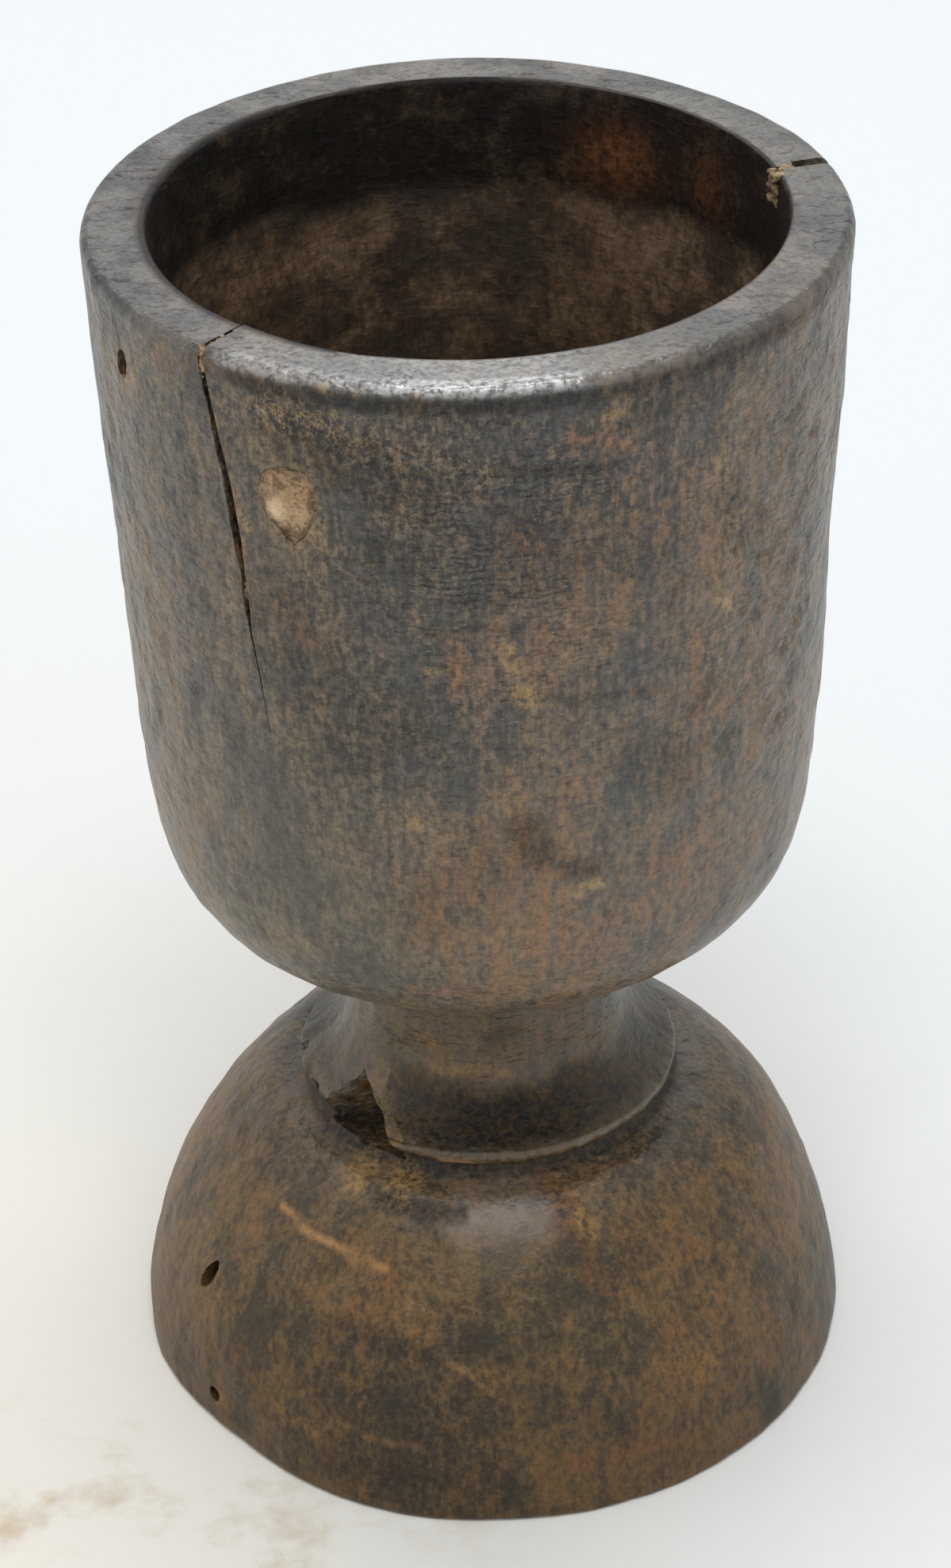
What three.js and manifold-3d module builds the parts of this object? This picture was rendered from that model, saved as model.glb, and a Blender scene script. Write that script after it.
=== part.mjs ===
// A goblet-shaped wooden cup turned from one block: a deep bowl with a thick flat rim, a waisted neck
// with a thin lip at its foot, and a heavy domed foot. Two drying cracks run down from the rim, and
// old filler sits in them and in one shallow loss of the wall.
// Millimetres, +Z up. The origin is the centre of the flat underside, and the front faces -Y.

import * as THREE from "three";
import { mergeVertices } from "three/addons/utils/BufferGeometryUtils.js";
import Module from "manifold-3d";

const wasm = await Module();
wasm.setup();

// Heights, stacked from the table up to the rim
const footHeight = 42.5;
const grooveHeight = 3.1;
const lipThickness = 1.9;
const neckHeight = 23.1;
const bowlHeight = 110.4;

// Foot: a dome that leans in a little from the table and turns over to a nearly level shoulder
const footRadius = 52.4;
const footLean = 1.2;
const footFlank = 24.5;
const shoulderRadius = 31;
const shoulderRun = 5.6;
const shoulderFall = 1.6;

// Groove and lip: the groove undercuts a thin lip that rings the bottom of the neck
const grooveDepth = 2;
const lipRadius = 27.8;
const lipRound = 0.7;

// Neck: a hollow curve that is narrowest above its middle
const waistRadius = 20;
const waistShare = 0.52;
const neckTopFlare = 1;

// Bowl: a full cheek under a nearly straight wall that widens a little to the rim
const cheekHeight = 33.4;
const cheekInset = 3.3; // how far in from the rim the wall starts, above the cheek
const cheekTurn = 21.5;
const undersideReach = 22.5;
const undersideRise = 10.6;
const rimRadius = 50;
const rimWall = 8.2;
const rimOuterRound = 2;
const rimInnerRound = 0.8;

// Hollow: straight below the mouth, then tapered, with a rounded floor
const mouthDepth = 16;
const hollowDepth = 82;
const hollowTaper = 3.1;
const floorRound = 29;

// A piece of the lip has split off along the grain at the front left, down to a rough bed
const splitFace = 17.3;
const splitBack = 10.5;
const splitBed = 0.8;
const splitRise = 8;

// Cracks: a blade-shaped gap from the rim down, that stops short of the hollow
const frontCrack = { azimuth: -131.1, lean: 7.2, width: 1.1, length: 38, tip: 4, web: 2 };
const backCrack = { azimuth: 14, lean: 3, width: 2, length: 34, tip: 12, web: 2.7 };

// Filler pressed into the cracks and the loss, with the gap it keeps to the wood round it
const fillerGap = 0.3;
const topFillerLength = 5;
const lowFillerLength = 3.7;
const notchWidth = 2.6;
const notchHeight = 4.8;

// The shallow loss of the front wall, wider at its top
const loss = { azimuth: -117.5, height: 162, halfWidth: 3.9, halfHeight: 5.5, depth: 1.6 };

// Old holes, each an oval sunk straight in
const holes = [
  { azimuth: -151.5, height: 172, width: 3.6, tall: 4.6, depth: 6 },
  { azimuth: -151.3, height: 22.5, width: 3, tall: 5.6, depth: 7 },
  { azimuth: -144.5, height: 5.4, width: 2.2, tall: 2.4, depth: 7 },
];

const turnSteps = 72;
const beyond = 3; // how far a cut runs past the surface that it opens

const lipBottom = footHeight + grooveHeight;
const lipTop = lipBottom + lipThickness;
const bowlBottom = lipTop + neckHeight;
const rimHeight = bowlBottom + bowlHeight;
const mouthRadius = rimRadius - rimWall;
const cheekRadius = rimRadius - cheekInset;

// Adds a curve to an outline from its last point, by two control points and an end.
function curveTo(outline, steps, controlA, controlB, end) {
  const start = outline[outline.length - 1];
  const curve = new THREE.CubicBezierCurve(
    start,
    new THREE.Vector2(...controlA),
    new THREE.Vector2(...controlB),
    new THREE.Vector2(...end),
  );
  outline.push(...curve.getPoints(steps).slice(1));
}

// Adds a rounded corner that bulges towards the given corner point.
function roundTo(outline, steps, corner, end) {
  const start = outline[outline.length - 1];
  const curve = new THREE.QuadraticBezierCurve(
    start,
    new THREE.Vector2(...corner),
    new THREE.Vector2(...end),
  );
  outline.push(...curve.getPoints(steps).slice(1));
}

function lineTo(outline, radius, height) {
  outline.push(new THREE.Vector2(radius, height));
}

// The foot: flat underside, domed flank and shoulder.
function traceFoot(outline) {
  lineTo(outline, 0, 0);
  lineTo(outline, footRadius, 0);
  curveTo(
    outline,
    12,
    [footRadius - footLean, footFlank],
    [shoulderRadius + shoulderRun, footHeight - shoulderFall],
    [shoulderRadius, footHeight],
  );
}

// The round-bottomed groove over the shoulder, and the thin lip above it.
function traceGrooveAndLip(outline) {
  const grooveRadius = lipRadius - grooveDepth;
  curveTo(
    outline,
    5,
    [grooveRadius, footHeight - lipRound],
    [grooveRadius - lipRound, lipBottom],
    [lipRadius - lipRound, lipBottom],
  );
  roundTo(outline, 2, [lipRadius, lipBottom], [lipRadius, lipBottom + lipThickness / 2]);
  roundTo(outline, 2, [lipRadius, lipTop], [lipRadius - lipRound, lipTop]);
}

// The neck: in from the lip to the waist, and out again under the bowl.
function traceNeck(outline) {
  const waistHeight = lipTop + neckHeight * waistShare;
  const rise = waistHeight - lipTop;
  curveTo(
    outline,
    7,
    [waistRadius + (lipRadius - waistRadius) / 3, lipTop + rise / 5],
    [waistRadius, lipTop + rise / 2],
    [waistRadius, waistHeight],
  );
  curveTo(
    outline,
    4,
    [waistRadius, waistHeight + rise / 2],
    [waistRadius, bowlBottom - neckTopFlare],
    [waistRadius + neckTopFlare, bowlBottom],
  );
}

// The bowl's underside and cheek, its wall, and the flat rim with its two rounded edges.
function traceBowl(outline) {
  const wallLean = (rimRadius - cheekRadius) / (bowlHeight - cheekHeight);
  curveTo(
    outline,
    14,
    [waistRadius + undersideReach, bowlBottom + undersideRise],
    [cheekRadius - wallLean * cheekTurn, bowlBottom + cheekHeight - cheekTurn],
    [cheekRadius, bowlBottom + cheekHeight],
  );
  lineTo(outline, rimRadius - wallLean * rimOuterRound, rimHeight - rimOuterRound);
  roundTo(outline, 4, [rimRadius, rimHeight], [rimRadius - rimOuterRound, rimHeight]);
  lineTo(outline, mouthRadius + rimInnerRound, rimHeight);
  roundTo(outline, 2, [mouthRadius, rimHeight], [mouthRadius, rimHeight - rimInnerRound]);
}

// The hollow, from the mouth down to the middle of its floor.
function traceHollow(outline) {
  const floorHeight = rimHeight - hollowDepth;
  const lowRadius = mouthRadius - hollowTaper;
  lineTo(outline, mouthRadius, rimHeight - mouthDepth);
  lineTo(outline, lowRadius, floorHeight + floorRound);
  curveTo(
    outline,
    8,
    [lowRadius - hollowTaper / 2, floorHeight + floorRound / 4],
    [lowRadius * 0.6, floorHeight],
    [0, floorHeight],
  );
}

// A closed geometry as a solid: only positions are kept, and shared vertices are merged.
function toSolid(geometry) {
  const bare = geometry.clone();
  bare.deleteAttribute("normal");
  bare.deleteAttribute("uv");
  const merged = mergeVertices(bare, 1e-4);
  const corners = merged.index.array;
  const kept = [];
  for (let i = 0; i < corners.length; i += 3) {
    const [a, b, c] = corners.slice(i, i + 3);
    if (a !== b && b !== c && c !== a) kept.push(a, b, c);
  }
  const mesh = new wasm.Mesh({
    numProp: 3,
    vertProperties: new Float32Array(merged.attributes.position.array),
    triVerts: new Uint32Array(kept),
  });
  return new wasm.Manifold(mesh);
}

// The whole block as it comes off the lathe, before it cracked and wore.
function turnedBlock() {
  const outline = [];
  traceFoot(outline);
  traceGrooveAndLip(outline);
  traceNeck(outline);
  traceBowl(outline);
  traceHollow(outline);
  const lathe = new THREE.LatheGeometry(outline, turnSteps);
  return toSolid(lathe.rotateX(Math.PI / 2));
}

// A flat outline pushed straight out from the axis: its x runs round the cup, its y runs up, and it
// reaches from one radius to another. The lean turns it in the wall.
function radialPrism(shape, azimuth, height, lean, fromRadius, toRadius) {
  const depth = toRadius - fromRadius;
  const prism = new THREE.ExtrudeGeometry(shape, { depth, bevelEnabled: false, curveSegments: 6 });
  const turn = THREE.MathUtils.degToRad(azimuth);
  const outward = new THREE.Vector3(Math.cos(turn), Math.sin(turn), 0);
  const up = new THREE.Vector3(0, 0, 1);
  const along = new THREE.Vector3().crossVectors(up, outward);
  prism.translate(0, 0, fromRadius);
  prism.rotateZ(THREE.MathUtils.degToRad(lean));
  prism.applyMatrix4(new THREE.Matrix4().makeBasis(along, up, outward));
  prism.translate(0, 0, height);
  return toSolid(prism);
}

// The outline of a crack: as wide as it is at the rim down to its tip, which closes to a point.
function crackOutline(crack) {
  const half = crack.width / 2;
  const tipStart = crack.tip - crack.length;
  const shape = new THREE.Shape();
  shape.moveTo(-half, beyond);
  shape.lineTo(-half, tipStart);
  shape.quadraticCurveTo(-half / 2, tipStart - crack.tip / 2, 0, -crack.length);
  shape.quadraticCurveTo(half / 2, tipStart - crack.tip / 2, half, tipStart);
  shape.lineTo(half, beyond);
  shape.closePath();
  return shape;
}

// An upright strip between two depths below the rim.
function stripOutline(width, top, bottom) {
  const shape = new THREE.Shape();
  shape.moveTo(-width / 2, top);
  shape.lineTo(-width / 2, bottom);
  shape.lineTo(width / 2, bottom);
  shape.lineTo(width / 2, top);
  shape.closePath();
  return shape;
}

function crackCut(crack) {
  const root = mouthRadius + crack.web;
  return radialPrism(crackOutline(crack), crack.azimuth, rimHeight, crack.lean, root, rimRadius + beyond);
}

// A strip of filler in a crack, clear of both sides and of the root of the crack.
function crackFiller(block, crack, top, bottom) {
  const strip = stripOutline(crack.width - 2 * fillerGap, top, bottom);
  const root = mouthRadius + crack.web + fillerGap;
  const slab = radialPrism(strip, crack.azimuth, rimHeight, crack.lean, root, rimRadius + beyond);
  return slab.intersect(block);
}

// The notch where the back crack breaks through to the hollow, under the rim. It opens into the root
// of the crack, and an inset makes the filler that sits in it and stops short of that root.
function notch(inset) {
  const strip = stripOutline(notchWidth - 2 * inset, beyond, inset - notchHeight);
  const end = mouthRadius + backCrack.web + fillerGap - 2 * inset;
  return radialPrism(strip, backCrack.azimuth, rimHeight, 0, mouthRadius - beyond, end);
}

// The loss in the wall, a lopsided oval. An inset makes the fill that sits in it.
function lossPrism(inset) {
  const points = [];
  const steps = 22;
  for (let i = 0; i < steps; i += 1) {
    const turn = (i / steps) * 2 * Math.PI;
    const wobble = 1 + 0.07 * Math.sin(3 * turn + 0.6);
    const topHeavy = 1 + 0.16 * Math.sin(turn);
    const x = (loss.halfWidth * wobble * topHeavy - inset) * Math.cos(turn);
    const y = (loss.halfHeight * wobble - inset) * Math.sin(turn);
    points.push(new THREE.Vector2(x, y));
  }
  const shape = new THREE.Shape(points);
  const floor = wallRadius(loss.height) - loss.depth + inset;
  return radialPrism(shape, loss.azimuth, loss.height, 0, floor, rimRadius + beyond);
}

// The outside radius of the bowl's straight wall at a height.
function wallRadius(height) {
  const cheekTop = bowlBottom + cheekHeight;
  const share = (height - cheekTop) / (rimHeight - cheekTop);
  return THREE.MathUtils.lerp(cheekRadius, rimRadius, share);
}

function holeCut(hole) {
  const surface = hole.height > bowlBottom ? wallRadius(hole.height) : footSurface(hole.height);
  const shape = new THREE.Shape();
  shape.absellipse(0, 0, hole.width / 2, hole.tall / 2, 0, 2 * Math.PI);
  const from = surface - hole.depth;
  return radialPrism(shape, hole.azimuth, hole.height, 0, from, footRadius + beyond);
}

// The outside radius of the foot's flank at a height.
function footSurface(height) {
  const outline = [];
  traceFoot(outline);
  const above = outline.findIndex((point, i) => i > 1 && point.y >= height);
  const [low, high] = [outline[above - 1], outline[above]];
  return THREE.MathUtils.mapLinear(height, low.y, high.y, low.x, high.x);
}

// The stretch of lip that has split off: everything left of an upright face that follows the grain.
function splitLip() {
  const reach = lipRadius + beyond;
  const shape = new THREE.Shape();
  shape.moveTo(-splitFace, -reach);
  shape.lineTo(-splitFace, -splitBack);
  shape.lineTo(-reach, -splitBack);
  shape.lineTo(-reach, -reach);
  shape.closePath();
  const depth = grooveHeight + lipThickness + splitRise - splitBed;
  const piece = new THREE.ExtrudeGeometry(shape, { depth, bevelEnabled: false });
  piece.translate(0, 0, footHeight + splitBed);
  return toSolid(piece);
}

function makeBody(block) {
  let body = block
    .subtract(splitLip())
    .subtract(crackCut(frontCrack))
    .subtract(crackCut(backCrack))
    .subtract(notch(0))
    .subtract(lossPrism(0));
  for (const hole of holes) {
    body = body.subtract(holeCut(hole));
  }
  return body;
}

const darkWood = { color: 0x3b2c22, roughness: 0.55, metalness: 0 };
const paleFiller = { color: 0xa98d5f, roughness: 0.9, metalness: 0 };
const tanFiller = { color: 0x8f7450, roughness: 0.8, metalness: 0 };

function namedMesh(name, solid, finish) {
  const { vertProperties, triVerts } = solid.getMesh();
  const geometry = new THREE.BufferGeometry();
  geometry.setAttribute("position", new THREE.BufferAttribute(vertProperties, 3));
  geometry.setIndex(new THREE.BufferAttribute(triVerts, 1));
  geometry.computeVertexNormals();
  const mesh = new THREE.Mesh(geometry, new THREE.MeshStandardMaterial(finish));
  mesh.name = name;
  return mesh;
}

const block = turnedBlock();
const lowFillerEnd = frontCrack.tip - frontCrack.length;

const cup = new THREE.Group();
cup.name = "wooden_cup";
cup.add(namedMesh("cup_body", makeBody(block), darkWood));
cup.add(
  namedMesh(
    "front_crack_filler_top",
    crackFiller(block, frontCrack, beyond, -topFillerLength),
    paleFiller,
  ),
);
cup.add(
  namedMesh(
    "front_crack_filler_low",
    crackFiller(block, frontCrack, lowFillerEnd + lowFillerLength, lowFillerEnd),
    paleFiller,
  ),
);
cup.add(namedMesh("back_crack_filler", notch(fillerGap).intersect(block), paleFiller));
cup.add(namedMesh("wall_loss_filler", lossPrism(fillerGap).intersect(block), tanFiller));

export default cup;
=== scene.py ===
import math
from functools import partial
from types import SimpleNamespace

import bmesh
import bpy
import numpy as np
from mathutils import Matrix, Vector


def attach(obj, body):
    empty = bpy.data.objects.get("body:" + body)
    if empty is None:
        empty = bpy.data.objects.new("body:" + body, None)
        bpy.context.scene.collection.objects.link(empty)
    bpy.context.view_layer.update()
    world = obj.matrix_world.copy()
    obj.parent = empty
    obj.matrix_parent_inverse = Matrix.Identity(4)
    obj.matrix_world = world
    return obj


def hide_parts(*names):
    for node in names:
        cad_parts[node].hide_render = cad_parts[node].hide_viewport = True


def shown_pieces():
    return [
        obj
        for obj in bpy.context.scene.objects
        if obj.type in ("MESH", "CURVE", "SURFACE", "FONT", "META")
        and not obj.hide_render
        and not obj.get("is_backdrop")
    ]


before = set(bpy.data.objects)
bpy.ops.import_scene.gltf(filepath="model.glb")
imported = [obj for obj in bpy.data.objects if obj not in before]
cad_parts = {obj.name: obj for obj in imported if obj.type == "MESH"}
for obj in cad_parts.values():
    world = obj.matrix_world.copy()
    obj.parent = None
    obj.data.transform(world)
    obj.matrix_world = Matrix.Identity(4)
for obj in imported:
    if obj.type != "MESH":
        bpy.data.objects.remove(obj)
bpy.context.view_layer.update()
mm = 0.001

# The camera stands where the photograph was taken from
photo = {
    "distance": 477.1,  # mm from the cup's axis, level
    "height": 405.9,  # mm over the table
    "pitch": 33.34,  # degrees down
    "yaw": -0.09,
    "roll": -1.55,
    "lens": 92.8,
}


def placeCamera():
    pitch, yaw, roll = (math.radians(photo[k]) for k in ("pitch", "yaw", "roll"))
    ahead = Vector((math.sin(yaw) * math.cos(pitch), math.cos(yaw) * math.cos(pitch), -math.sin(pitch)))
    level = Vector((math.cos(yaw), -math.sin(yaw), 0))
    over = level.cross(ahead)
    right = math.cos(roll) * level + math.sin(roll) * over
    up = -math.sin(roll) * level + math.cos(roll) * over
    bpy.ops.object.camera_add()
    camera = named("photoCamera")
    camera.matrix_world = Matrix(
        (
            (right.x, up.x, -ahead.x, 0),
            (right.y, up.y, -ahead.y, -photo["distance"] * mm),
            (right.z, up.z, -ahead.z, photo["height"] * mm),
            (0, 0, 0, 1),
        )
    )
    camera.data.sensor_width = 36
    camera.data.lens = photo["lens"]
    camera.data.clip_start = 0.02
    bpy.context.scene.camera = camera


def setMode(mode):
    bpy.ops.object.mode_set(mode=mode)


def deselectAll():
    if bpy.context.object and bpy.context.object.mode != "OBJECT":
        setMode("OBJECT")
    bpy.ops.object.select_all(action="DESELECT")


def pick(piece):
    deselectAll()
    piece.select_set(True)
    bpy.context.view_layer.objects.active = piece


def named(name):
    bpy.context.object.name = name
    return bpy.context.object


def selectAll():
    bpy.ops.mesh.select_all(action="SELECT")


def extrude(move):
    bpy.ops.mesh.extrude_region_move(TRANSFORM_OT_translate={"value": move})


def applyModifier(piece, kind, **settings):
    pick(piece)
    modifier = piece.modifiers.new(kind.title(), kind)
    for name, value in settings.items():
        setattr(modifier, name, value)
    bpy.ops.object.modifier_apply(modifier=modifier.name)


def readPoints(piece, what="co"):
    points = np.empty(len(piece.data.vertices) * 3, np.float32)
    piece.data.vertices.foreach_get(what, points)
    return points.reshape(-1, 3).astype(float)


def writePoints(piece, points):
    piece.data.vertices.foreach_set("co", points.astype(np.float32).ravel())
    piece.data.update()


def lumpy(points, size, seed, octaves=2):
    grid = np.random.default_rng(seed).uniform(-1, 1, (31, 31, 31))
    made = np.zeros(len(points))
    for octave in range(octaves):
        place = points / size * 2**octave + octave * 7.3
        cell = np.floor(place).astype(int)
        part = smoothStep(0, 1, place - cell)
        for step in np.ndindex(2, 2, 2):
            share = np.prod(np.where(step, part, 1 - part), axis=1)
            a, b, c = ((cell + step) % 31).T
            made += share * grid[a, b, c] * 0.5**octave
    return made


def smoothStep(low, high, value):
    share = np.clip((value - low) / (high - low), 0, 1)
    return share * share * (3 - 2 * share)


def turnBetween(azimuth, centre):
    return (azimuth - centre + 180) % 360 - 180


def mound(azimuth, height, around, spanRound, up, spanUp):
    return np.exp(-((turnBetween(azimuth, around) / spanRound) ** 2) - ((height - up) / spanUp) ** 2)


# The turned body: sizes in millimetres, stacked from the table up
cupShape = {
    "footHeight": 42.5,
    "grooveHeight": 3.1,
    "lipThickness": 1.9,
    "neckHeight": 23.1,
    "bowlHeight": 110.4,
    "footRadius": 52.4,
    "footLean": 1.2,
    "footFlank": 24.5,
    "footEdge": 0.8,
    "shoulderRadius": 31,
    "shoulderRun": 5.6,
    "shoulderFall": 1.6,
    "grooveDepth": 2,
    "lipRadius": 27.8,
    "lipRound": 0.7,
    "waistRadius": 20,
    "waistShare": 0.52,
    "neckTopFlare": 1,
    "cheekHeight": 33.4,
    "cheekInset": 3.3,
    "cheekTurn": 21.5,
    "undersideReach": 22.5,
    "undersideRise": 10.6,
    "rimRadius": 50,
    "rimWall": 8.2,
    "rimOuterRound": 2,
    "rimInnerRound": 0.8,
    "mouthDepth": 16,
    "hollowDepth": 82,
    "hollowTaper": 3.1,
    "floorRound": 29,
    "turns": 288,
}
lipBottom = cupShape["footHeight"] + cupShape["grooveHeight"]
lipTop = lipBottom + cupShape["lipThickness"]
bowlBottom = lipTop + cupShape["neckHeight"]
rimHeight = bowlBottom + cupShape["bowlHeight"]
cheekRadius = cupShape["rimRadius"] - cupShape["cheekInset"]
mouthRadius = cupShape["rimRadius"] - cupShape["rimWall"]


def bend(start, controlA, controlB, end, count=60):
    share = np.linspace(0, 1, count + 1)[:, None]
    a, b, c, d = (np.array(p, float) for p in (start, controlA, controlB, end))
    rest = 1 - share
    return a * rest**3 + 3 * b * share * rest**2 + 3 * c * share**2 * rest + d * share**3


def corner(start, point, end):
    a, b, c = (np.array(p, float) for p in (start, point, end))
    return bend(a, (a + 2 * b) / 3, (c + 2 * b) / 3, c, 20)


def straight(*points):
    return np.array(points, float)


def spaceOut(curve, spacing):
    lengths = np.r_[0, np.cumsum(np.hypot(*np.diff(curve, axis=0).T))]
    count = max(1, round(lengths[-1] / spacing))
    at = np.linspace(0, lengths[-1], count + 1)
    return np.stack([np.interp(at, lengths, curve[:, k]) for k in (0, 1)], 1)


def traceCup():
    s = SimpleNamespace(**cupShape)
    foot = bend(
        (s.footRadius, 0),
        (s.footRadius - s.footLean, s.footFlank),
        (s.shoulderRadius + s.shoulderRun, s.footHeight - s.shoulderFall),
        (s.shoulderRadius, s.footHeight),
    )
    foot = foot[foot[:, 1] >= s.footEdge]
    under = (s.footRadius - s.footEdge, 0)
    groove = s.lipRadius - s.grooveDepth
    lipLow, lipHigh = [(s.lipRadius - s.lipRound, height) for height in (lipBottom, lipTop)]
    lipEdge = (s.lipRadius, (lipBottom + lipTop) / 2)
    waist, waistHeight = s.waistRadius, lipTop + s.neckHeight * s.waistShare
    middle, rise = (waist, waistHeight), waistHeight - lipTop
    flare = (waist + (s.lipRadius - waist) / 3, lipTop + rise / 5)
    neckTop = (waist + s.neckTopFlare, bowlBottom)
    lean = (s.rimRadius - cheekRadius) / (s.bowlHeight - s.cheekHeight)
    cheek = (cheekRadius, bowlBottom + s.cheekHeight)
    cheekLow = (cheekRadius - lean * s.cheekTurn, cheek[1] - s.cheekTurn)
    wallEnd = (s.rimRadius - lean * s.rimOuterRound, rimHeight - s.rimOuterRound)
    rimOuter = (s.rimRadius - s.rimOuterRound, rimHeight)
    rimInner = (mouthRadius + s.rimInnerRound, rimHeight)
    boreTop = (mouthRadius, rimHeight - s.rimInnerRound)
    mouthEnd = (mouthRadius, rimHeight - s.mouthDepth)
    lowRadius, floorHeight = mouthRadius - s.hollowTaper, rimHeight - s.hollowDepth
    boreEnd = (lowRadius, floorHeight + s.floorRound)
    boreTurn = (lowRadius - s.hollowTaper / 2, floorHeight + s.floorRound / 4)
    # the spacing of the points, then two ends, with one or two points between that pull the curve
    curves = [
        (6, (0, 0), under),
        (0.35, under, (s.footRadius, 0), foot[0]),
        (1, *foot),
        (0.5, foot[-1], (groove, s.footHeight - s.lipRound), (groove - s.lipRound, lipBottom), lipLow),
        (0.35, lipLow, (s.lipRadius, lipBottom), lipEdge),
        (0.35, lipEdge, (s.lipRadius, lipTop), lipHigh),
        (1, lipHigh, flare, (waist, lipTop + rise / 2), middle),
        (1, middle, (waist, waistHeight + rise / 2), (waist, bowlBottom - s.neckTopFlare), neckTop),
        (1, neckTop, (waist + s.undersideReach, bowlBottom + s.undersideRise), cheekLow, cheek),
        (1.04, cheek, wallEnd),
        (0.45, wallEnd, (s.rimRadius, rimHeight), rimOuter),
        (0.9, rimOuter, rimInner),
        (0.4, rimInner, (mouthRadius, rimHeight), boreTop),
        (1.6, boreTop, mouthEnd),
        (2, mouthEnd, boreEnd),
        (2.3, boreEnd, boreTurn, (lowRadius * 0.6, floorHeight), (0, floorHeight)),
    ]
    rows = [np.zeros((1, 2))]
    for spacing, *points in curves:
        draw = {3: corner, 4: bend}.get(len(points), straight)
        rows.append(spaceOut(draw(*points), spacing)[1:])
    return np.concatenate(rows) * mm


def turnCup():
    rows = traceCup()
    deselectAll()
    bpy.ops.mesh.primitive_plane_add(size=0.001)
    body = named("turnedCup")
    setMode("EDIT")
    selectAll()
    bpy.ops.mesh.merge(type="CENTER")
    for step in np.diff(rows, axis=0):
        extrude((step[0], 0, step[1]))
    selectAll()
    bpy.ops.mesh.spin(steps=cupShape["turns"], angle=2 * math.pi, center=(0, 0, 0), axis=(0, 0, 1))
    selectAll()
    bpy.ops.mesh.remove_doubles(threshold=2e-5)
    bpy.ops.mesh.normals_make_consistent(inside=False)
    setMode("OBJECT")
    return body


# Where the lathe's round shape has moved or worn: azimuth, height, spans round and up, push in mm
wear = [
    (-3, 158, 30, 22, 0.34),
    (-3, 141, 24, 12, -0.15),
    (0, 115, 24, 11, 0.5),
    (180, 92, 24, 8, -0.35),
    (42, 181, 28, 5, -0.45),
    (0, 26, 30, 10, 0.35),
    (-176, 3, 22, 6, 0.5),
    (180, 150, 32, 34, 0.14),
    (178, 17, 32, 9, 0.4),
    (172, 36, 38, 8, -0.8),
    (0, 36, 38, 8, 0.9),
    (-138, 0, 18, 12, -1.35),
    (60, 40, 50, 14, -0.3),
    (95, 92, 40, 18, -0.35),
    (128, 150, 20, 30, -0.25),
    (40, 8, 18, 8, -0.7),
]

# Groups of old tool marks: azimuths, heights, how many, length, width, depth in mm, and tilt in degrees
toolMarks = {
    "rightGouges": ((-54, -27), (116, 168), 60, 4.6, 1.8, 0.45, 52),
    "sideGouges": ((-27, 40), (104, 176), 80, 5, 2, 0.29, 60),
    "frontCuts": ((-110, -50), (100, 170), 90, 5, 1.4, 0.18, 8),
    "leftCuts": ((-180, -130), (100, 176), 50, 6, 1.5, 0.18, 82),
    "backCuts": ((60, 180), (98, 176), 130, 5.5, 2, 0.25, 70),
    "undersideCuts": ((-180, 180), (76, 100), 100, 4.5, 1.7, 0.18, 20),
    "footCuts": ((-180, 180), (3, 40), 170, 4.2, 2, 0.2, 15),
    "neckCuts": ((-180, 180), (49, 69), 60, 4, 1.8, 0.18, 5),
}
# Above this height, all that stands inside the mouth's radius belongs to the hollow
hollowLow = 98.5


def cylinderOf(points):
    azimuth = np.degrees(np.arctan2(points[:, 1], points[:, 0]))
    return azimuth, np.hypot(points[:, 0], points[:, 1]) / mm, points[:, 2] / mm


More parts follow.
